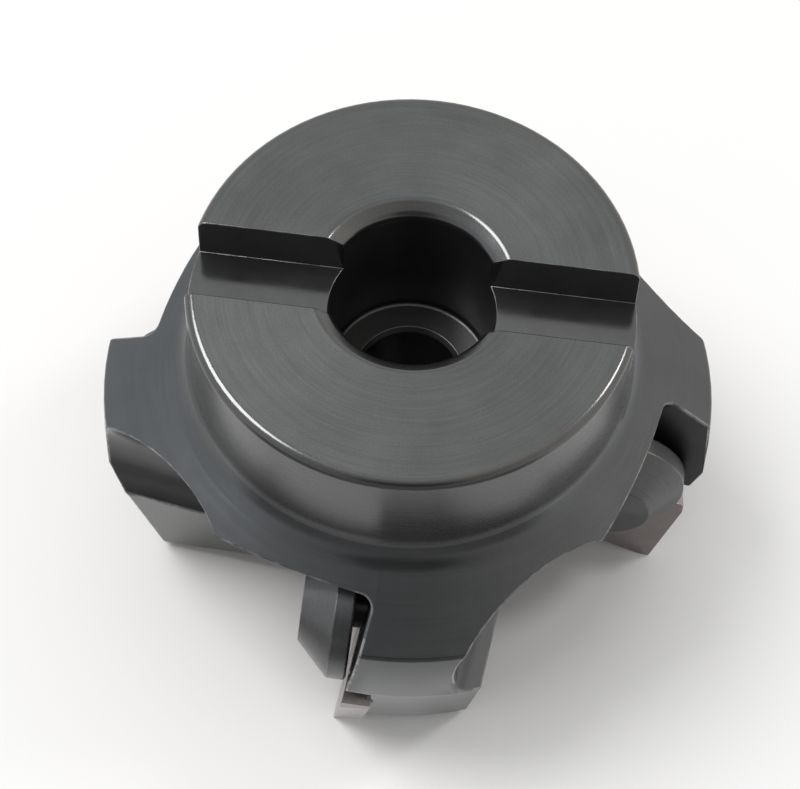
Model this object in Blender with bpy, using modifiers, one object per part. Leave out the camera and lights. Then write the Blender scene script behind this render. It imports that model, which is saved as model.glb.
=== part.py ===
"""Indexable face mill: a shell-mounted steel body with four square inserts held by turned clamp screws.

Metres, +Z up, hub face on top. The origin is the centre of the cutting plane under the insert tips.
"""
import math

import bmesh
import bpy
from mathutils import Matrix, Vector

MM = 0.001

# Body of revolution, outside
CUTTER_HEIGHT = 50.4 * MM
HUB_RADIUS = 25.4 * MM
HUB_ROUND = 1.05 * MM
HUB_FILLET = 5.0 * MM
FLANGE_SLOPE = math.radians(34.2)
FLANGE_RADIUS = 35.73 * MM
FLANGE_EDGE_HEIGHT = 28.1 * MM
FLANGE_ROUND = 0.8 * MM
SHOULDER_RADIUS = 35.9 * MM
SHOULDER_HEIGHT = 25.4 * MM
RIM_RADIUS = 36.0 * MM
RIM_HEIGHT = 18.9 * MM
RELIEF_RADIUS = 34.35 * MM
RELIEF_HEIGHT = 14.8 * MM
BASE_RADIUS = 30.9 * MM
BASE_CHAMFER = 0.4 * MM
FACE_STANDOFF = 0.8 * MM
DISH_RADIUS = 19.0 * MM
DISH_SLOPE = math.radians(15.0)

# Arbor bore, the ledge at its foot and the recess for the arbor screw
BORE_RADIUS = 9.525 * MM
BORE_MOUTH_RADIUS = 11.25 * MM
BORE_MOUTH_SLOPE = math.radians(34.0)
BORE_MOUTH_LIP = 1.0 * MM
BORE_MOUTH_ROUND = 1.5 * MM
BORE_DEPTH = 19.9 * MM
BORE_CORNER_ROUND = 0.5 * MM
LEDGE_THICKNESS = 10.0 * MM
SCREW_HOLE_RADIUS = 5.8 * MM
SCREW_HOLE_CHAMFER = 0.5 * MM
RECESS_RADIUS = 8.8 * MM
RECESS_CHAMFER = 0.8 * MM

# Drive slot across the hub face
SLOT_WIDTH = 9.2 * MM
SLOT_DEPTH = 6.0 * MM

# Teeth: the rake plane of each one carries its insert flush with the tooth's leading wall
TOOTH_COUNT = 4
CUTTING_RADIUS = 31.75 * MM
FIRST_TOOTH_ANGLE = math.radians(-98.21)
AXIAL_RAKE = math.radians(7.6)
RADIAL_RAKE = math.radians(-3.0)
LEAD_ANGLE = math.radians(15.0)

# Inserts: square, positive flanks, a wiper facet at each corner
INSERT_SIZE = 12.7 * MM
INSERT_THICKNESS = 3.18 * MM
INSERT_RELIEF = math.radians(11.0)
WIPER_LENGTH = 1.4 * MM
SEAT_GAP = 0.3 * MM
CORNER_RELIEF_RADIUS = 1.1 * MM
NOTCH_HEIGHT = 2.9 * MM
NOTCH_LENGTH = 3.6 * MM
NOTCH_DEPTH = 2.7 * MM

# Chip gullets, measured in the rake plane from the insert's sharp corner
GULLET_WALL_INSET = 17.45 * MM
GULLET_WALL_LEAN = math.radians(6.65)
GULLET_ROOF_HEIGHT = 34.1 * MM
GULLET_ROOF_SLOPE = math.radians(41.0)
GULLET_ROUND = 1.6 * MM
SPOTFACE_INSET = 2.0 * MM
SPOTFACE_RISE = 0.2 * MM
SPOTFACE_CLEARANCE = 1.65 * MM

# Clamp screws: conical heads on axes that lean towards the insert's outer corner
CLAMP_INSET = 6.65 * MM
CLAMP_HEIGHT = 19.1 * MM
CLAMP_LEAN = math.radians(7.4)
CLAMP_LEAN_TURN = math.radians(-33.0)
CLAMP_RADIUS = 8.7 * MM
CLAMP_BAND = 2.25 * MM
CLAMP_CONE = 3.85 * MM
CLAMP_NOSE_RADIUS = 4.8 * MM
CLAMP_EDGE = 0.25 * MM
SHANK_RADIUS = 2.5 * MM
SHANK_LENGTH = 10.0 * MM
SHANK_CHAMFER = 0.6 * MM
SHANK_GAP = 0.3 * MM
TIP_GAP = 1.0 * MM
SOCKET_ACROSS_FLATS = 4.0 * MM
SOCKET_DEPTH = 2.8 * MM

# Facets round a full turn and along rounds, and how far a cutter runs past what it cuts
BODY_STEPS = 96
CLAMP_STEPS = 64
HOLE_STEPS = 32
FILLET_STEPS = 6
SMALL_ROUND = 2.0 * MM
SMALL_ROUND_STEPS = 4
ARC_STEPS = 20
OVERRUN = 3.0 * MM

MERGE = 0.00001


def clear_scene():
    for obj in list(bpy.data.objects):
        bpy.data.objects.remove(obj, do_unlink=True)


def new_collection(name):
    collection = bpy.data.collections.new(name)
    bpy.context.scene.collection.children.link(collection)
    return collection


def new_material(name, colour, roughness, metallic):
    material = bpy.data.materials.new(name)
    material.use_nodes = True
    shader = material.node_tree.nodes["Principled BSDF"]
    shader.inputs["Base Color"].default_value = (*colour, 1.0)
    shader.inputs["Roughness"].default_value = roughness
    shader.inputs["Metallic"].default_value = metallic
    return material


def rounded(corners):
    """Points of a closed outline given as (radius, height, round), its round corners as arcs."""
    result = []
    for index, (across, height, radius) in enumerate(corners):
        corner = Vector((across, height))
        if not radius:
            result.append(tuple(corner))
            continue
        back = (Vector(corners[index - 1][:2]) - corner).normalized()
        ahead = (Vector(corners[(index + 1) % len(corners)][:2]) - corner).normalized()
        half = math.acos(back.dot(ahead)) / 2
        start = corner + back * radius / math.tan(half)
        centre = corner + (back + ahead).normalized() * radius / math.sin(half)
        spoke = start - centre
        sweep = math.pi - 2 * half
        if back.x * ahead.y - back.y * ahead.x > 0:
            sweep = -sweep
        steps = FILLET_STEPS if radius > SMALL_ROUND else SMALL_ROUND_STEPS
        for step in range(steps + 1):
            arm = Matrix.Rotation(sweep * step / steps, 2) @ spoke
            result.append(tuple(centre + arm))
    return result


def turned(name, profile, steps):
    """Object made by turning a closed (radius, height) profile round Z."""
    mesh = bpy.data.meshes.new(name)
    points = [(radius, 0.0, height) for radius, height in profile]
    count = len(points)
    mesh.from_pydata(points, [(i, (i + 1) % count) for i in range(count)], [])
    obj = bpy.data.objects.new(name, mesh)
    turn = obj.modifiers.new("turn", "SCREW")
    turn.axis = "Z"
    turn.angle = 2 * math.pi
    turn.steps = steps
    turn.render_steps = steps
    turn.use_merge_vertices = True
    turn.merge_threshold = MERGE
    return obj


def spun(name, profile, steps):
    """Solid whose open profile starts and ends on the Z axis."""
    obj = turned(name, profile, steps)
    mesh = obj.data
    points = [vertex.co.copy() for vertex in mesh.vertices]
    mesh.clear_geometry()
    mesh.from_pydata(points, [(i, i + 1) for i in range(len(points) - 1)], [])
    return obj


def lofted(name, rings):
    """Closed solid through rings with equal counts of points, the last ring facing forward."""
    mesh = bpy.data.meshes.new(name)
    bm = bmesh.new()
    loops = [[bm.verts.new(point) for point in ring] for ring in rings]
    bm.faces.new(list(reversed(loops[0])))
    bm.faces.new(loops[-1])
    for lower, upper in zip(loops, loops[1:]):
        for i in range(len(lower)):
            j = (i + 1) % len(lower)
            bm.faces.new((lower[i], lower[j], upper[j], upper[i]))
    bmesh.ops.recalc_face_normals(bm, faces=bm.faces)
    bm.to_mesh(mesh)
    bm.free()
    return bpy.data.objects.new(name, mesh)


def prism(name, radius, start, end, sides):
    """Straight prism or cylinder along Z from start to end."""
    mesh = bpy.data.meshes.new(name)
    bm = bmesh.new()
    bmesh.ops.create_cone(
        bm,
        cap_ends=True,
        segments=sides,
        radius1=radius,
        radius2=radius,
        depth=end - start,
        matrix=Matrix.Translation((0.0, 0.0, (start + end) / 2)),
    )
    bm.to_mesh(mesh)
    bm.free()
    return bpy.data.objects.new(name, mesh)


def box(name, size):
    mesh = bpy.data.meshes.new(name)
    bm = bmesh.new()
    bmesh.ops.create_cube(bm, size=1.0, matrix=Matrix.Diagonal((*size, 1.0)))
    bm.to_mesh(mesh)
    bm.free()
    return bpy.data.objects.new(name, mesh)


def place_cutter(obj, collection, matrix):
    obj.matrix_world = matrix
    obj.hide_render = True
    obj.display_type = "WIRE"
    collection.objects.link(obj)
    return obj


def subtract(obj, cutters):
    for cutter in cutters:
        cut = obj.modifiers.new(cutter.name, "BOOLEAN")
        cut.operation = "DIFFERENCE"
        cut.solver = "EXACT"
        cut.object = cutter


def finish(obj, material):
    """Keeps the evaluated shape as the object's mesh, smooth between its sharp edges."""
    bpy.context.view_layer.update()
    shape = bpy.data.meshes.new_from_object(obj.evaluated_get(bpy.context.evaluated_depsgraph_get()))
    obj.modifiers.clear()
    obj.data = shape
    shape.name = obj.name
    shape.materials.clear()
    shape.materials.append(material)
    shape.shade_smooth()
    shape.set_sharp_from_angle(angle=math.radians(28))


def wiper_rise():
    """Height of a wiper facet above the sharp corner that it cuts off."""
    return WIPER_LENGTH * math.sin(LEAD_ANGLE) * math.cos(LEAD_ANGLE)


def tooth_matrix(index):
    """Frame of a tooth: X outward and Y upward in the rake plane, Z forward into the gullet.

    Its origin is the insert's sharp corner, set so that the outer end of the wiper facet
    lies in the cutting plane at the cutting radius.
    """
    angle = FIRST_TOOTH_ANGLE + index * 2 * math.pi / TOOTH_COUNT
    radial = Vector((math.cos(angle), math.sin(angle), 0.0))
    axial = Vector((0.0, 0.0, 1.0))
    forward = radial.cross(axial)
    turn = Matrix((radial, axial, forward)).transposed()
    turn = turn @ Matrix.Rotation(-AXIAL_RAKE, 3, "X") @ Matrix.Rotation(-RADIAL_RAKE, 3, "Y")
    wiper_end = Vector((wiper_rise() * math.tan(LEAD_ANGLE), wiper_rise(), 0.0))
    origin = radial * CUTTING_RADIUS - turn @ wiper_end
    return Matrix.Translation(origin) @ turn.to_4x4()


def side_direction():
    return Vector((math.sin(LEAD_ANGLE), math.cos(LEAD_ANGLE)))


def face_direction():
    return Vector((-math.cos(LEAD_ANGLE), math.sin(LEAD_ANGLE)))


def insert_ring(height):
    """Outline of an insert, its corners cut by the wiper facets, at a height from the rake face."""
    inset = -height * math.tan(INSERT_RELIEF)
    half = INSERT_SIZE / 2
    centre = (side_direction() + face_direction()) * half
    reach = half - inset
    facet_reach = half * (math.cos(LEAD_ANGLE) + math.sin(LEAD_ANGLE)) - wiper_rise() - inset
    ring = []
    for corner in range(4):
        turn = -corner * math.pi / 2
        bottom = Matrix.Rotation(turn, 2) @ -side_direction()
        side = Matrix.Rotation(turn, 2) @ -face_direction()
        facet = Matrix.Rotation(turn, 2) @ Vector((0.0, -1.0))
        for first, first_reach, second, second_reach in (
            (side, reach, facet, facet_reach),
            (facet, facet_reach, bottom, reach),
        ):
            both = Matrix((first, second))
            point = centre + both.inverted() @ Vector((first_reach, second_reach))
            ring.append((point.x, point.y, height))
    return ring


def pocket_ring(height):
    """Outline of an insert pocket, open outward and downward."""
    taper = height * math.tan(INSERT_RELIEF)
    side = side_direction()
    face = face_direction()
    reach = INSERT_SIZE + SEAT_GAP + taper
    far = BASE_RADIUS
    points = [
        face * reach - side * far,
        (side + face) * reach,
        side * reach - face * far,
        Vector((far, -far)),
    ]
    return [(point.x, point.y, height) for point in points]


def notch_ring(height):
    """Outline of the shallow step over an insert's outer corner."""
    foot = side_direction() * (INSERT_SIZE + SEAT_GAP) + face_direction() * NOTCH_LENGTH
    low = foot.y - OVERRUN
    top = foot.y + NOTCH_HEIGHT
    far = BASE_RADIUS
    return [(foot.x, low, height), (foot.x, top, height), (far, top, height), (far, low, height)]


def gullet_ring(height, inset):
    """Outline of a chip gullet: back wall, spotface arc round the clamp and sloping roof."""
    radius = CLAMP_RADIUS + SPOTFACE_CLEARANCE - inset
    centre = Vector((-CLAMP_INSET - SPOTFACE_INSET, CLAMP_HEIGHT + SPOTFACE_RISE))
    wall = Vector((math.sin(GULLET_WALL_LEAN), math.cos(GULLET_WALL_LEAN)))
    roof = Vector((math.cos(GULLET_ROOF_SLOPE), math.sin(GULLET_ROOF_SLOPE)))
    wall_foot = Vector((-GULLET_WALL_INSET + inset / wall.y, 0.0))
    roof_foot = Vector((0.0, GULLET_ROOF_HEIGHT - inset / roof.x))
    wall_end = meet_circle(wall_foot, wall, centre, radius, -1)
    roof_end = meet_circle(roof_foot, roof, centre, radius, 1)
    start = math.atan2(wall_end.y - centre.y, wall_end.x - centre.x)
    stop = math.atan2(roof_end.y - centre.y, roof_end.x - centre.x)
    if start < stop:
        start += 2 * math.pi
    far = RIM_RADIUS
    points = [Vector((far, -far)), wall_foot - wall * far]
    for step in range(ARC_STEPS + 1):
        angle = start + (stop - start) * step / ARC_STEPS
        points.append(centre + radius * Vector((math.cos(angle), math.sin(angle))))
    points.append(roof_foot + roof * far)
    points.append(Vector((far, points[-1].y)))
    return [(point.x, point.y, height) for point in points]


def meet_circle(foot, direction, centre, radius, side):
    """Where the line from foot along direction meets a circle, first (-1) or last (1)."""
    along = (centre - foot).dot(direction)
    nearest = foot + direction * along
    gap = (nearest - centre).length
    return nearest + direction * side * math.sqrt(radius**2 - gap**2)


def gullet_cutter(name):
    rings = []
    for step in range(FILLET_STEPS + 1):
        angle = math.pi / 2 * step / FILLET_STEPS
        rings.append(gullet_ring(GULLET_ROUND * (1 - math.cos(angle)), GULLET_ROUND * (1 - math.sin(angle))))
    rings.append(gullet_ring(3 * RIM_RADIUS, 0.0))
    return lofted(name, rings)


def clamp_matrix():
    """Axis of a clamp screw in its tooth's frame: Z leads forward, leaning over the insert."""
    lean_axis = Vector((-math.sin(CLAMP_LEAN_TURN), math.cos(CLAMP_LEAN_TURN), 0.0))
    place = Matrix.Translation((-CLAMP_INSET, CLAMP_HEIGHT, 0.0))
    return place @ Matrix.Rotation(CLAMP_LEAN, 4, lean_axis)


def clamp_underside():
    """Height of the head's underside along its axis, its low edge one seat gap off the insert."""
    return (SEAT_GAP + CLAMP_RADIUS * math.sin(CLAMP_LEAN)) / math.cos(CLAMP_LEAN)


def body_profile():
    top = CUTTER_HEIGHT
    base = FACE_STANDOFF
    dish = base + (BASE_RADIUS - BASE_CHAMFER - DISH_RADIUS) * math.tan(DISH_SLOPE)
    cone_foot = FLANGE_EDGE_HEIGHT + (FLANGE_RADIUS - HUB_RADIUS) * math.tan(FLANGE_SLOPE)
    mouth_foot = top - (BORE_MOUTH_RADIUS - BORE_RADIUS) * math.tan(BORE_MOUTH_SLOPE)
    ledge_top = top - BORE_DEPTH
    ledge_base = ledge_top - LEDGE_THICKNESS
    return rounded([
        (BORE_MOUTH_RADIUS, top, BORE_MOUTH_LIP),
        (HUB_RADIUS, top, HUB_ROUND),
        (HUB_RADIUS, cone_foot, HUB_FILLET),
        (FLANGE_RADIUS, FLANGE_EDGE_HEIGHT, FLANGE_ROUND),
        (SHOULDER_RADIUS, SHOULDER_HEIGHT, 0.0),
        (RIM_RADIUS, RIM_HEIGHT, 0.0),
        (RELIEF_RADIUS, RELIEF_HEIGHT, 0.0),
        (BASE_RADIUS, base + BASE_CHAMFER, 0.0),
        (BASE_RADIUS - BASE_CHAMFER, base, 0.0),
        (DISH_RADIUS, dish, 0.0),
        (RECESS_RADIUS + RECESS_CHAMFER, dish, 0.0),
        (RECESS_RADIUS, dish + RECESS_CHAMFER, 0.0),
        (RECESS_RADIUS, ledge_base, 0.0),
        (SCREW_HOLE_RADIUS, ledge_base, 0.0),
        (SCREW_HOLE_RADIUS, ledge_top - SCREW_HOLE_CHAMFER, 0.0),
        (SCREW_HOLE_RADIUS + SCREW_HOLE_CHAMFER, ledge_top, 0.0),
        (BORE_RADIUS, ledge_top, BORE_CORNER_ROUND),
        (BORE_RADIUS, mouth_foot, BORE_MOUTH_ROUND),
    ])


def clamp_profile():
    base = clamp_underside()
    band = base + CLAMP_BAND
    nose = band + CLAMP_CONE
    tip = base - SHANK_LENGTH
    return [
        (0.0, nose),
        (CLAMP_NOSE_RADIUS, nose),
        (CLAMP_RADIUS, band),
        (CLAMP_RADIUS, base + CLAMP_EDGE),
        (CLAMP_RADIUS - CLAMP_EDGE, base),
        (SHANK_RADIUS, base),
        (SHANK_RADIUS, tip + SHANK_CHAMFER),
        (SHANK_RADIUS - SHANK_CHAMFER, tip),
        (0.0, tip),
    ]


def build():
    clear_scene()
    parts = new_collection("indexable_face_mill")
    cutters = new_collection("cutters")
    blackened = new_material("blackened_steel", (0.045, 0.045, 0.047), 0.34, 0.9)
    turned_steel = new_material("dark_turned_steel", (0.10, 0.10, 0.105), 0.38, 0.9)
    carbide = new_material("ground_carbide", (0.32, 0.29, 0.27), 0.36, 0.85)

    body = turned("cutter_body", body_profile(), BODY_STEPS)
    parts.objects.link(body)

    slot_size = (2 * RIM_RADIUS, SLOT_WIDTH, SLOT_DEPTH + OVERRUN)
    slot_height = CUTTER_HEIGHT + (OVERRUN - SLOT_DEPTH) / 2
    slot = place_cutter(box("drive_slot_cut", slot_size), cutters, Matrix.Translation((0.0, 0.0, slot_height)))
    cuts = [slot]
    for index in range(TOOTH_COUNT):
        tooth = tooth_matrix(index)
        clamp = tooth @ clamp_matrix()
        number = index + 1
        pocket_floor = -INSERT_THICKNESS - SEAT_GAP
        pocket = lofted(f"pocket_cut_{number}", [pocket_ring(pocket_floor), pocket_ring(OVERRUN)])
        notch = lofted(f"notch_cut_{number}", [notch_ring(-NOTCH_DEPTH), notch_ring(OVERRUN)])
        relief = prism(f"corner_cut_{number}", CORNER_RELIEF_RADIUS, pocket_floor, OVERRUN, HOLE_STEPS // 2)
        relief_place = (side_direction() + face_direction()) * INSERT_SIZE
        tap_end = clamp_underside() - SHANK_LENGTH - TIP_GAP
        tapped = prism(f"screw_hole_cut_{number}", SHANK_RADIUS + SHANK_GAP, tap_end, OVERRUN, HOLE_STEPS)
        cuts.append(place_cutter(gullet_cutter(f"gullet_cut_{number}"), cutters, tooth))
        cuts.append(place_cutter(pocket, cutters, tooth))
        cuts.append(place_cutter(notch, cutters, tooth))
        cuts.append(place_cutter(relief, cutters, tooth @ Matrix.Translation((*relief_place, 0.0))))
        cuts.append(place_cutter(tapped, cutters, clamp))
    subtract(body, cuts)
    finish(body, blackened)

    nose = clamp_underside() + CLAMP_BAND + CLAMP_CONE
    socket_radius = SOCKET_ACROSS_FLATS / 2 / math.cos(math.pi / 6)
    for index in range(TOOTH_COUNT):
        tooth = tooth_matrix(index)
        clamp = tooth @ clamp_matrix()
        number = index + 1
        insert = lofted(f"insert_{number}", [insert_ring(-INSERT_THICKNESS), insert_ring(0.0)])
        insert.matrix_world = tooth
        parts.objects.link(insert)
        finish(insert, carbide)

        screw = spun(f"clamp_screw_{number}", clamp_profile(), CLAMP_STEPS)
        screw.matrix_world = clamp
        parts.objects.link(screw)
        socket = prism(f"socket_cut_{number}", socket_radius, nose - SOCKET_DEPTH, nose + OVERRUN, 6)
        subtract(screw, [place_cutter(socket, cutters, clamp)])
        finish(screw, turned_steel)


build()
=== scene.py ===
"""Looks of the indexable face mill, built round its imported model: metres, +Z up, hub face on top."""

import math

import bmesh
import bpy
from mathutils import Matrix, Vector
from mathutils.bvhtree import BVHTree


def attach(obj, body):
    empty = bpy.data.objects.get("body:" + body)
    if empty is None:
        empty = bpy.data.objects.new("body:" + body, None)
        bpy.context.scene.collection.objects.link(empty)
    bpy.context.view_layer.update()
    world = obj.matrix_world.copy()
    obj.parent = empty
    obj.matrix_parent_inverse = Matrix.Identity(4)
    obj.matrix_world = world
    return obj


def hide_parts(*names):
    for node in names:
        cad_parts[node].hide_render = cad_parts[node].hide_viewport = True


MM = 0.001
PER_MM = 1000.0
WHITE = (1.0, 1.0, 1.0, 1.0)

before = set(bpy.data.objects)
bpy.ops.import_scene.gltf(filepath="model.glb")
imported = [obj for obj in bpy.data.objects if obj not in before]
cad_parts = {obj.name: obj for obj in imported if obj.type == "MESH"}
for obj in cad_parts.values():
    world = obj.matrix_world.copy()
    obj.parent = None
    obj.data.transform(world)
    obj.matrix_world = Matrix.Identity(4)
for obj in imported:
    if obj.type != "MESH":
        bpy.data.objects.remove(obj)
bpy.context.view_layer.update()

# Heights and radii that tell the surfaces of the body apart
HUB_FACE = 50.4 * MM
SLOT_FLOOR = 44.4 * MM
SLOT_HALF = 4.6 * MM
RIM_START = 24.3 * MM
MOUTH_RADIUS = 11.3 * MM
MOUTH_FOOT = 48.3 * MM
BORE_RADIUS = 9.525 * MM
BORE_EDGE_REACH = 0.5 * MM
HUB_FOOT = 33.0 * MM
WALL_END = 25.6 * MM
NEAR = 0.2 * MM
CLOSE = 0.1 * MM

# Directions that tell them apart: the part of a normal that is up, sideways, or round the axis
LEVEL_FACE = 0.999
UPRIGHT_FACE = 0.99
RISING_FACE = 0.05
RAKE_SIDE = 0.8
MILLED_SIDE = 0.035

# Flat faces, and the widths of the broken edges
FLAT_ANGLE = math.radians(0.4)
SHARP_ANGLE = math.radians(28)
TOOTH_EDGE = 0.28 * MM
FINE_EDGE_SHARE = 0.35
BORE_EDGE_SHARE = 0.18
SLOT_EDGE_SHARE = 0.6
INSERT_EDGE = 0.05 * MM
CLAMP_EDGE = 0.08 * MM
EDGE_SEGMENTS = 3
JOIN_SHARE = 0.29
NARROW_SHARE = 0.4
STRAY = 0.12 * MM

# Where the teeth and their clamp screws stand
TOOTH_COUNT = 4
FIRST_TOOTH_ANGLE = math.radians(-98.21)
CUTTING_RADIUS = 31.75 * MM
WIPER_LENGTH = 1.4 * MM
AXIAL_RAKE = math.radians(7.6)
RADIAL_RAKE = math.radians(-3.0)
LEAD_ANGLE = math.radians(15.0)
CLAMP_PLACE = Vector((-6.65, 19.1, 0.0)) * MM
CLAMP_LEAN = math.radians(7.4)
CLAMP_LEAN_TURN = math.radians(-33.0)
INSERT_BACK = -3.0 * MM
SEAT_SHARE = 0.25 * MM
SOCKET_REACH = 2.4 * MM
SOCKET_SCALE = 0.60

# Where the camera stands and what it sees
CAMERA_PLACE = Vector((13.800, -166.359, 321.809)) * MM
CAMERA_RIGHT = Vector((0.99176599, 0.12624009, 0.02153287))
CAMERA_UP = Vector((-0.12053343, 0.86335566, 0.48998846))
FOCAL_PIXELS = 2873.04
IMAGE_WIDTH = 800
SENSOR = 36.0
CLIP_START = 0.01
CLIP_END = 20.0

# Blackened steel keeps a little matte black between its gloss
METAL_SHARE = 0.9

# A quarter turn lays a stretched highlight across the turning marks
ACROSS_MARKS = 0.25

# Sizes of the patterns, per metre, and of the turning marks, per millimetre; marks change slowly round the axis
TURNED_CLOUD = 90.0
MILLED_CLOUD = 130.0
FINE_GRAIN = 5200.0
MILLED_GRAIN = 4200.0
WORN_PATCH = 420.0
CUTTER_STREAK = (300.0, 300.0, 4200.0)
FINE_MARKS = 5.5
WIDE_MARKS = 1.1
MARK_CHANGE = 0.35

# Heights of the patterns in the surface
TURNED_GRAIN_HEIGHT = 0.0003 * MM
MILLED_GRAIN_HEIGHT = 0.001 * MM
STREAK_HEIGHT = 0.002 * MM
EDGE_GRAIN_HEIGHT = 0.0006 * MM

# Floor: the white background's share of it rises between two radii, for the camera and for mirrored rays
FLOOR_SIZE = 3.0
FLOOR_HEIGHT = -0.05 * MM
FLOOR_COLOUR = (0.87, 0.86, 0.845, 1.0)
CAMERA_GLOW = (0.028, 0.060, 0.62)
MIRROR_GLOW = (0.027, 0.036, 0.75)

# In mirrored rays the shadow reaches further out on the right, and the floor in front is darkened with painted shade
SHADOW_SHIFT = (0.005, 0.030, 0.013)
GLOOM_LEVEL = 0.32
GLOOM_START = 0.050
GLOOM_END = 0.078
GLOOM_FRONT = (0.45, 0.65)

# Studio: even sky, a dark room behind the camera, soft lamps at (azimuth, elevation) in degrees
SKY_LEVEL = 0.5
DARK_DIRECTION = (0.095, -0.901, 0.423)
DARK_LEVEL = 0.11
DARK_RADIUS = 0.26
DUSK_LEVEL = 0.43
DUSK_RADIUS = 0.42
BRIGHT_RADIUS = 1.2
COOL_SIDE = (0.955, 1.0, 1.03, 1.0)
WARM_SIDE = (1.01, 1.0, 0.95, 1.0)
SIDE_REACH = 0.6
LAMP_DISTANCE = 1.2
LAMPS = (
    ("left_softbox", 168.0, 58.0, 0.70, 10.0),
    ("right_softbox", 25.0, 50.0, 0.24, 2.5),
)


class Nodes:
    """Short way to build a node tree."""

    def __init__(self, tree):
        self.tree = tree
        tree.nodes.clear()

    def add(self, kind, settings=None, **inputs):
        """New node; an input goes by its name, with _ for a space, or by its number, as i0."""
        node = self.tree.nodes.new(kind)
        for key, value in (settings or {}).items():
            setattr(node, key, value)
        for key, value in inputs.items():
            by_number = key[0] == "i" and key[1:].isdigit()
            self.put(node.inputs[int(key[1:]) if by_number else key.replace("_", " ")], value)
        return node

    def put(self, socket, value):
        if isinstance(value, bpy.types.NodeSocket):
            self.tree.links.new(value, socket)
        else:
            socket.default_value = value

    def math(self, operation, first, second=0.0):
        return self.add("ShaderNodeMath", {"operation": operation}, i0=first, i1=second).outputs[0]

    def blend(self, *parts):
        """Sum of values, each times its share."""
        scaled = [self.math("MULTIPLY", value, share) for value, share in parts]
        total = scaled[0]
        for part in scaled[1:]:
            total = self.math("ADD", total, part)
        return total

    def scale(self, vector, factors):
        return self.add("ShaderNodeVectorMath", {"operation": "MULTIPLY"}, i0=vector, i1=factors).outputs[0]

    def noise(self, vector, scale, detail, roughness):
        node = self.add("ShaderNodeTexNoise", Vector=vector, Scale=scale, Detail=detail, Roughness=roughness)
        return node.outputs["Fac"]

    def span(self, value, low, high, to_low, to_high):
        """Value mapped from one range to another, clamped."""
        return self.add("ShaderNodeMapRange", i0=value, i1=low, i2=high, i3=to_low, i4=to_high).outputs[0]

    def mix(self, factor, first, second):
        """Colour between two others; its sockets are the Mix node's colour ones."""
        return self.add("ShaderNodeMix", {"data_type": "RGBA"}, i0=factor, i6=first, i7=second).outputs[2]

    def bump(self, height, distance, normal=None):
        node = self.add("ShaderNodeBump", Height=height, Strength=1.0, Distance=distance)
        if normal is not None:
            self.put(node.inputs["Normal"], normal)
        return node.outputs[0]

    def place(self):
        return self.add("ShaderNodeTexCoord").outputs["Object"]

    def mirrored_ray(self, path):
        return self.math("MAXIMUM", path.outputs["Is Glossy Ray"], path.outputs["Is Transmission Ray"])

    def mix_shaders(self, share, first, second):
        return self.add("ShaderNodeMixShader", i0=share, i1=first, i2=second).outputs[0]


def new_material(name):
    material = bpy.data.materials.new(name)
    material.use_nodes = True
    return material, Nodes(material.node_tree)


def finish_material(n, colour, roughness, normal, stretch=0.0, metal=METAL_SHARE):
    """Metal shader; stretch draws its highlights out across the turning marks."""
    shader = n.add("ShaderNodeBsdfPrincipled", Metallic=metal, Base_Color=colour, Roughness=roughness, Normal=normal)
    if stretch:
        tangent = n.add("ShaderNodeTangent", {"direction_type": "RADIAL", "axis": "Z"}).outputs[0]
        n.put(shader.inputs["Anisotropic"], stretch)
        n.put(shader.inputs["Anisotropic Rotation"], ACROSS_MARKS)
        n.put(shader.inputs["Tangent"], tangent)
    n.add("ShaderNodeOutputMaterial", Surface=shader.outputs[0])


def grey(value, tint):
    return (value * tint[0], value * tint[1], value * tint[2], 1.0)


def turned_steel(name, dark, light, rough, mark_depth, tint=(1.0, 1.0, 1.0), stretch=0.5, metal=METAL_SHARE):
    """Metal with turning marks round the piece's own Z axis."""
    material, n = new_material(name)
    place = n.place()
    x, y, z = n.add("ShaderNodeSeparateXYZ", Vector=place).outputs
    radius = n.math("SQRT", n.math("ADD", n.math("MULTIPLY", x, x), n.math("MULTIPLY", y, y)))
    turn_x = n.math("MULTIPLY", n.math("DIVIDE", x, radius), MARK_CHANGE)
    turn_y = n.math("MULTIPLY", n.math("DIVIDE", y, radius), MARK_CHANGE)
    ring = n.add("ShaderNodeCombineXYZ", X=n.math("MULTIPLY", radius, PER_MM), Y=n.math("MULTIPLY", z, PER_MM),
                 Z=turn_x).outputs[0]

    def marks(scale, detail, roughness):
        node = n.add("ShaderNodeTexNoise", {"noise_dimensions": "4D"}, Vector=ring, W=turn_y, Scale=scale,
                     Detail=detail, Roughness=roughness)
        return node.outputs["Fac"]

    fine = marks(FINE_MARKS, 3.0, 0.7)
    wide = marks(WIDE_MARKS, 2.0, 0.5)
    cloud = n.noise(place, TURNED_CLOUD, 4.0, 0.6)
    grain = n.noise(place, FINE_GRAIN, 2.0, 0.6)
    shade = n.blend((fine, 0.35), (cloud, 0.3), (grain, 0.35))
    colour = n.mix(n.span(shade, 0.36, 0.64, 0.0, 1.0), grey(dark, tint), grey(light, tint))
    roughness = n.math("ADD", n.span(cloud, 0.3, 0.7, rough - 0.03, rough + 0.03),
                       n.span(fine, 0.3, 0.7, -0.03, 0.03))
    normal = n.bump(n.blend((fine, 0.6), (wide, 0.8)), mark_depth)
    normal = n.bump(grain, TURNED_GRAIN_HEIGHT, normal)
    finish_material(n, colour, roughness, normal, stretch, metal)
    return material


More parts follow.
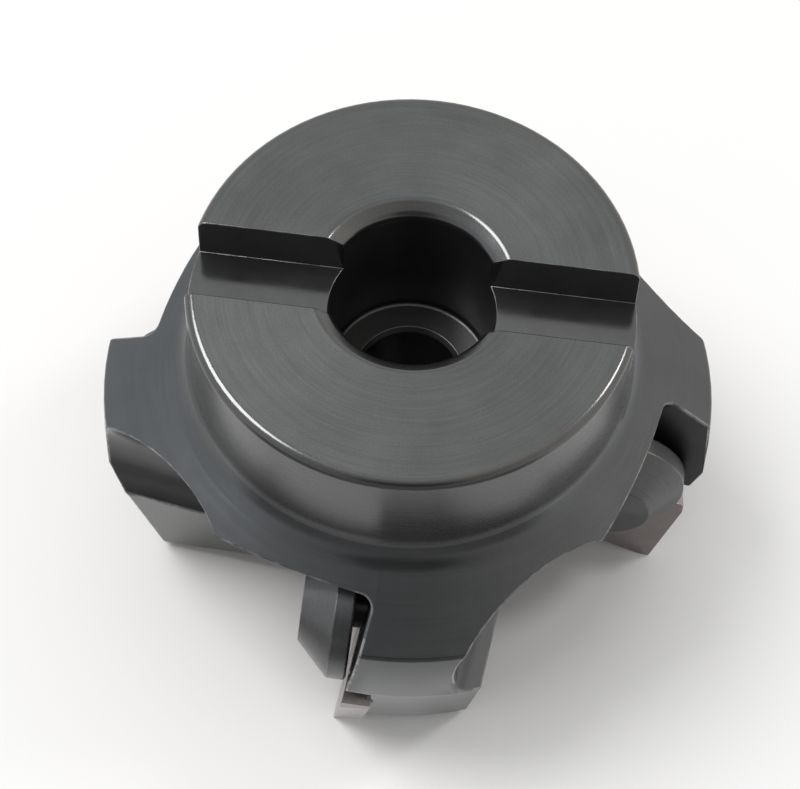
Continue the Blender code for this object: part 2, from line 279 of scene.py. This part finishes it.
def milled_steel(name, dark, light, rough, tint=(1.0, 1.0, 1.0)):
    """Metal with faint straight cutter marks and a fine grain."""
    material, n = new_material(name)
    place = n.place()
    streak = n.noise(n.scale(place, CUTTER_STREAK), 1.0, 3.0, 0.6)
    cloud = n.noise(place, MILLED_CLOUD, 4.0, 0.6)
    grain = n.noise(place, MILLED_GRAIN, 2.0, 0.6)
    shade = n.blend((streak, 0.35), (cloud, 0.4), (grain, 0.25))
    colour = n.mix(n.span(shade, 0.32, 0.68, 0.0, 1.0), grey(dark, tint), grey(light, tint))
    roughness = n.span(cloud, 0.3, 0.7, rough - 0.05, rough + 0.05)
    normal = n.bump(grain, MILLED_GRAIN_HEIGHT, n.bump(streak, STREAK_HEIGHT))
    finish_material(n, colour, roughness, normal)
    return material


def worn_edge(name, dark, light, rough, tint=(1.0, 1.0, 1.0)):
    """Edge where the black finish has been broken and rubbed bright in places."""
    material, n = new_material(name)
    place = n.place()
    patch = n.noise(place, WORN_PATCH, 5.0, 0.65)
    grain = n.noise(place, FINE_GRAIN, 2.0, 0.6)
    colour = n.mix(n.span(patch, 0.42, 0.6, 0.0, 1.0), grey(dark, tint), grey(light, tint))
    roughness = n.span(patch, 0.35, 0.65, rough + 0.05, rough - 0.05)
    finish_material(n, colour, roughness, n.bump(grain, EDGE_GRAIN_HEIGHT))
    return material


def tooth_matrix(index):
    """Frame of a tooth: X outward and Y upward in the rake plane, Z forward."""
    angle = FIRST_TOOTH_ANGLE + index * 2 * math.pi / TOOTH_COUNT
    radial = Vector((math.cos(angle), math.sin(angle), 0.0))
    axial = Vector((0.0, 0.0, 1.0))
    turn = Matrix((radial, axial, radial.cross(axial))).transposed()
    turn = turn @ Matrix.Rotation(-AXIAL_RAKE, 3, "X") @ Matrix.Rotation(-RADIAL_RAKE, 3, "Y")
    rise = WIPER_LENGTH * math.sin(LEAD_ANGLE) * math.cos(LEAD_ANGLE)
    origin = radial * CUTTING_RADIUS - turn @ Vector((rise * math.tan(LEAD_ANGLE), rise, 0.0))
    return Matrix.Translation(origin) @ turn.to_4x4()


def clamp_matrix(index):
    """Frame of a clamp screw: Z along it, out of its head."""
    lean_axis = Vector((-math.sin(CLAMP_LEAN_TURN), math.cos(CLAMP_LEAN_TURN), 0.0))
    return tooth_matrix(index) @ Matrix.Translation(CLAMP_PLACE) @ Matrix.Rotation(CLAMP_LEAN, 4, lean_axis)


def face_reach(edge):
    """How far the narrower of an edge's two faces reaches from it."""
    start = edge.verts[0].co
    along = (edge.verts[1].co - start).normalized()
    return min(max((corner.co - start).cross(along).length for corner in face.verts) for face in edge.link_faces)


def clean_copy(node, name, width, place=None, weight=None):
    """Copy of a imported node's mesh with its triangles joined into flat faces, in its own frame at place.

    Slivers much narrower than the bevel width close up. Sharp edges get the bevel weight that weight(middle of the
    edge, is it convex) gives, or else 1, and less beside faces too narrow for a bevel of that width.
    """
    place = place or Matrix.Identity(4)
    mesh = bpy.data.meshes.new(name)
    bm = bmesh.new()
    bm.from_mesh(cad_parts[node].data)
    bmesh.ops.remove_doubles(bm, verts=bm.verts, dist=JOIN_SHARE * width)
    bmesh.ops.dissolve_limit(bm, angle_limit=FLAT_ANGLE, verts=bm.verts, edges=bm.edges)
    layer = bm.edges.layers.float.new("bevel_weight_edge")
    for edge in bm.edges:
        if len(edge.link_faces) == 2 and edge.calc_face_angle() > SHARP_ANGLE:
            middle = (edge.verts[0].co + edge.verts[1].co) / 2
            share = weight(middle, edge.is_convex) if weight else 1.0
            edge[layer] = min(share, NARROW_SHARE * face_reach(edge) / width)
    bm.transform(place.inverted())
    bm.to_mesh(mesh)
    bm.free()
    obj = bpy.data.objects.new(name, mesh)
    obj.matrix_world = place
    bpy.context.scene.collection.objects.link(obj)
    mesh.shade_smooth()
    mesh.set_sharp_from_angle(angle=SHARP_ANGLE)
    return obj


def break_edges(obj, width, material_index):
    bevel = obj.modifiers.new("broken_edges", "BEVEL")
    bevel.width = width
    bevel.segments = EDGE_SEGMENTS
    bevel.limit_method = "WEIGHT"
    bevel.material = material_index
    bevel.use_clamp_overlap = False
    weighted = obj.modifiers.new("weighted_normals", "WEIGHTED_NORMAL")
    weighted.keep_sharp = True


def apply_modifiers(obj):
    """Final mesh of an object in place of its modifiers."""
    depsgraph = bpy.context.evaluated_depsgraph_get()
    mesh = bpy.data.meshes.new_from_object(obj.evaluated_get(depsgraph), preserve_all_data_layers=True,
                                           depsgraph=depsgraph)
    obj.modifiers.clear()
    obj.data = mesh


def settle_strays(obj, node):
    """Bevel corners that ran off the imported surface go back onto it."""
    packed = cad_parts[node].data
    surface = BVHTree.FromPolygons([vertex.co for vertex in packed.vertices],
                                   [tuple(face.vertices) for face in packed.polygons])
    for vertex in obj.data.vertices:
        spot, _, _, gap = surface.find_nearest(vertex.co)
        if gap > STRAY:
            vertex.co = spot


def stand_for(obj, node):
    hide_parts(node)
    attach(obj, "root")


def on_slot_edge(spot):
    """Whether a spot lies on the drive slot's front edge, which is painted near black as a line of shade."""
    return spot.z > HUB_FACE - NEAR and abs(spot.y + SLOT_HALF) < NEAR


def body_edge_weight(middle, convex):
    """Hub and bore edges are finer than the deburred edges of the teeth, whose inner corners stay sharp."""
    radius = middle.xy.length
    if middle.z < HUB_FOOT and not convex:
        return 0.0
    if radius < BORE_RADIUS - NEAR or middle.z < HUB_FOOT and radius < BORE_RADIUS + NEAR:
        return BORE_EDGE_SHARE
    if on_slot_edge(middle):
        return SLOT_EDGE_SHARE
    return FINE_EDGE_SHARE if middle.z > HUB_FOOT else 1.0


def body_finish(centre, normal):
    """Which of the body's finishes a face has."""
    radius = math.hypot(centre.x, centre.y)
    radial = Vector((centre.x, centre.y, 0.0)).normalized()
    swirl = normal.dot(radial.cross(Vector((0.0, 0.0, 1.0))))
    if normal.z > LEVEL_FACE and centre.z > HUB_FACE - CLOSE:
        return "hub_face"
    if abs(centre.y) < SLOT_HALF + CLOSE and centre.z > SLOT_FLOOR - CLOSE and radius > BORE_RADIUS:
        if abs(normal.y) > UPRIGHT_FACE or normal.z > LEVEL_FACE:
            return "slot"
    # Rake-side pocket faces; their darker colour is painted shade
    if swirl > RAKE_SIDE:
        return "pocket"
    if abs(swirl) > MILLED_SIDE:
        return "milled"
    if centre.z > MOUTH_FOOT and (radius > RIM_START or radius < MOUTH_RADIUS) and normal.z > RISING_FACE:
        return "polished"
    if radius < BORE_RADIUS + NEAR:
        return "bore"
    if RIM_START < radius < WALL_END and centre.z > HUB_FOOT:
        return "hub_wall"
    return "turned"


def edge_finish(centre):
    """Which finish a face of the body's broken edges has."""
    if centre.xy.length < BORE_RADIUS + BORE_EDGE_REACH:
        return "bore"
    return "slot_edge" if on_slot_edge(centre) else "edge"


def dress_body():
    body = clean_copy("cutter_body", "dressed_cutter_body", TOOTH_EDGE, weight=body_edge_weight)
    mesh = body.data
    finishes = {
        "hub_face": turned_steel("hub_face_steel", 0.080, 0.118, 0.40, 0.003 * MM, (0.99, 1.0, 1.01), stretch=0.3),
        "hub_wall": turned_steel("hub_wall_steel", 0.125, 0.155, 0.28, 0.0010 * MM, (0.99, 1.0, 1.01), stretch=0.3,
                                 metal=0.85),
        # Darker than the milled faces: painted shade in the tooth pockets
        "pocket": milled_steel("pocket_steel_painted_shade", 0.045, 0.070, 0.40),
        "turned": turned_steel("turned_black_steel", 0.085, 0.115, 0.22, 0.0015 * MM, (0.98, 1.0, 1.03)),
        "milled": milled_steel("milled_black_steel", 0.080, 0.115, 0.22),
        "slot": milled_steel("slot_black_steel", 0.095, 0.130, 0.17),
        "polished": turned_steel("polished_black_steel", 0.095, 0.13, 0.18, 0.0008 * MM, (1.0, 0.99, 0.98),
                                 stretch=0.3),
        "bore": turned_steel("bored_black_steel", 0.070, 0.095, 0.32, 0.002 * MM),
        "edge": worn_edge("worn_edge_steel", 0.11, 0.26, 0.26),
        # Near black: a painted line of shade along the slot's front edge
        "slot_edge": worn_edge("slot_edge_painted_shade", 0.010, 0.020, 0.50),
    }
    index = {}
    for name, material in finishes.items():
        index[name] = len(mesh.materials)
        mesh.materials.append(material)
    for face in mesh.polygons:
        face.material_index = index[body_finish(face.center, face.normal)]
    break_edges(body, TOOTH_EDGE, index["edge"])
    apply_modifiers(body)
    settle_strays(body, "cutter_body")
    for face in body.data.polygons:
        if face.material_index == index["edge"]:
            face.material_index = index[edge_finish(face.center)]
    stand_for(body, "cutter_body")


def dress_inserts():
    carbide = milled_steel("ground_carbide_finish", 0.26, 0.34, 0.28, (1.0, 0.905, 0.89))
    honed = worn_edge("honed_carbide_edge", 0.30, 0.42, 0.22, (1.0, 0.95, 0.93))
    for index in range(TOOTH_COUNT):
        node = f"insert_{index + 1}"
        insert = clean_copy(node, "dressed_" + node, INSERT_EDGE)
        insert.data.materials.append(carbide)
        insert.data.materials.append(honed)
        tooth = tooth_matrix(index)
        into_tooth = tooth.inverted()
        for vertex in insert.data.vertices:
            if (into_tooth @ vertex.co).z < INSERT_BACK:
                vertex.co -= tooth.col[2].xyz * SEAT_SHARE
        break_edges(insert, INSERT_EDGE, 1)
        stand_for(insert, node)


def dress_clamps():
    steel = turned_steel("clamp_turned_steel", 0.095, 0.150, 0.42, 0.004 * MM, (0.99, 1.0, 1.02), stretch=0.8)
    edge = worn_edge("clamp_edge_steel", 0.10, 0.20, 0.30)
    for index in range(TOOTH_COUNT):
        node = f"clamp_screw_{index + 1}"
        clamp = clean_copy(node, "dressed_" + node, CLAMP_EDGE, clamp_matrix(index))
        clamp.data.materials.append(steel)
        clamp.data.materials.append(edge)
        for vertex in clamp.data.vertices:
            if vertex.co.z > 0.0 and vertex.co.xy.length < SOCKET_REACH:
                vertex.co.x *= SOCKET_SCALE
                vertex.co.y *= SOCKET_SCALE
        break_edges(clamp, CLAMP_EDGE, 1)
        stand_for(clamp, node)


def build_camera():
    camera = bpy.data.cameras.new("camera")
    obj = bpy.data.objects.new("camera", camera)
    bpy.context.scene.collection.objects.link(obj)
    right = CAMERA_RIGHT.normalized()
    up = CAMERA_UP.normalized()
    turn = Matrix((right, up, right.cross(up))).transposed().to_4x4()
    obj.matrix_world = Matrix.Translation(CAMERA_PLACE) @ turn
    camera.sensor_fit = "HORIZONTAL"
    camera.sensor_width = SENSOR
    camera.lens = FOCAL_PIXELS * SENSOR / IMAGE_WIDTH
    camera.clip_start = CLIP_START
    camera.clip_end = CLIP_END
    bpy.context.scene.camera = obj


def glow_share(n, distance, glow):
    """White background's share of the floor: none under the cutter, so that its contact shadow stays."""
    start, end, level = glow
    return n.span(distance, start, end, 0.0, level)


def build_floor():
    mesh = bpy.data.meshes.new("floor")
    corners = ((-1, -1), (1, -1), (1, 1), (-1, 1))
    mesh.from_pydata([(FLOOR_SIZE * x, FLOOR_SIZE * y, FLOOR_HEIGHT) for x, y in corners], [], [(0, 1, 2, 3)])
    floor = bpy.data.objects.new("floor", mesh)
    bpy.context.scene.collection.objects.link(floor)
    material, n = new_material("pale_floor")
    matte = n.add("ShaderNodeBsdfDiffuse", Color=FLOOR_COLOUR).outputs[0]
    white = n.add("ShaderNodeEmission", Color=WHITE, Strength=1.0).outputs[0]
    # Painted shade: dim emission that mirrored rays see on the floor in front
    room = n.add("ShaderNodeEmission", Color=WHITE, Strength=GLOOM_LEVEL).outputs[0]
    place = n.place()
    x, y, _ = n.add("ShaderNodeSeparateXYZ", Vector=place).outputs
    distance = n.add("ShaderNodeVectorMath", {"operation": "LENGTH"}, i0=place).outputs["Value"]
    path = n.add("ShaderNodeLightPath")
    mirrored = n.mirrored_ray(path)
    to_camera = n.math("MULTIPLY", path.outputs["Is Camera Ray"], glow_share(n, distance, CAMERA_GLOW))
    start, end, shift = SHADOW_SHIFT
    shadow = n.math("SUBTRACT", distance, n.span(x, start, end, 0.0, shift))
    to_mirror = n.math("MULTIPLY", mirrored, glow_share(n, shadow, MIRROR_GLOW))
    front = n.math("MULTIPLY", n.math("DIVIDE", y, distance), -1.0)
    painted_shade_share = n.math("MULTIPLY", n.span(distance, GLOOM_START, GLOOM_END, 0.0, 1.0),
                   n.span(front, *GLOOM_FRONT, 0.0, 1.0))
    surface = n.mix_shaders(n.math("MAXIMUM", to_camera, to_mirror), matte, white)
    surface = n.mix_shaders(n.math("MULTIPLY", mirrored, painted_shade_share), surface, room)
    n.add("ShaderNodeOutputMaterial", Surface=surface)
    mesh.materials.append(material)


def build_world():
    """White studio: white to the camera, soft to light the part, and dimmer behind the camera where mirrored."""
    world = bpy.data.worlds.new("studio")
    bpy.context.scene.world = world
    world.use_nodes = True
    n = Nodes(world.node_tree)
    direction = n.add("ShaderNodeTexCoord").outputs["Generated"]
    away = n.add("ShaderNodeVectorMath", {"operation": "DOT_PRODUCT"}, i0=direction, i1=DARK_DIRECTION)
    angle = n.math("ARCCOSINE", away.outputs["Value"])
    dusk = n.span(angle, DARK_RADIUS, DUSK_RADIUS, DARK_LEVEL, DUSK_LEVEL)
    level = n.math("ADD", dusk, n.span(angle, DUSK_RADIUS, BRIGHT_RADIUS, 0.0, 1.0 - DUSK_LEVEL))
    side = n.add("ShaderNodeSeparateXYZ", Vector=direction).outputs["X"]
    tint = n.mix(n.span(side, -SIDE_REACH, SIDE_REACH, 0.0, 1.0), COOL_SIDE, WARM_SIDE)
    white = n.add("ShaderNodeBackground", Color=WHITE, Strength=1.0).outputs[0]
    dim = n.add("ShaderNodeBackground", Color=tint, Strength=level).outputs[0]
    soft = n.add("ShaderNodeBackground", Color=WHITE, Strength=SKY_LEVEL).outputs[0]
    path = n.add("ShaderNodeLightPath")
    lit = n.mix_shaders(n.mirrored_ray(path), soft, dim)
    n.add("ShaderNodeOutputWorld", Surface=n.mix_shaders(path.outputs["Is Camera Ray"], lit, white))


def area_light(name, azimuth, elevation, size, power):
    """Round soft lamp that faces the middle of the floor; size is its diameter in metres, power is in watts."""
    light = bpy.data.lights.new(name, "AREA")
    light.shape = "DISK"
    light.size = size
    light.energy = power
    obj = bpy.data.objects.new(name, light)
    turn = math.radians(azimuth)
    rise = math.radians(elevation)
    towards = Vector((math.cos(turn) * math.cos(rise), math.sin(turn) * math.cos(rise), math.sin(rise)))
    obj.location = towards * LAMP_DISTANCE
    obj.rotation_mode = "QUATERNION"
    obj.rotation_quaternion = (-towards).to_track_quat("-Z", "Y")
    bpy.context.scene.collection.objects.link(obj)


dress_body()
dress_inserts()
dress_clamps()
build_camera()
build_floor()
build_world()
for lamp in LAMPS:
    area_light(*lamp)
bpy.context.scene.view_settings.view_transform = "Standard"
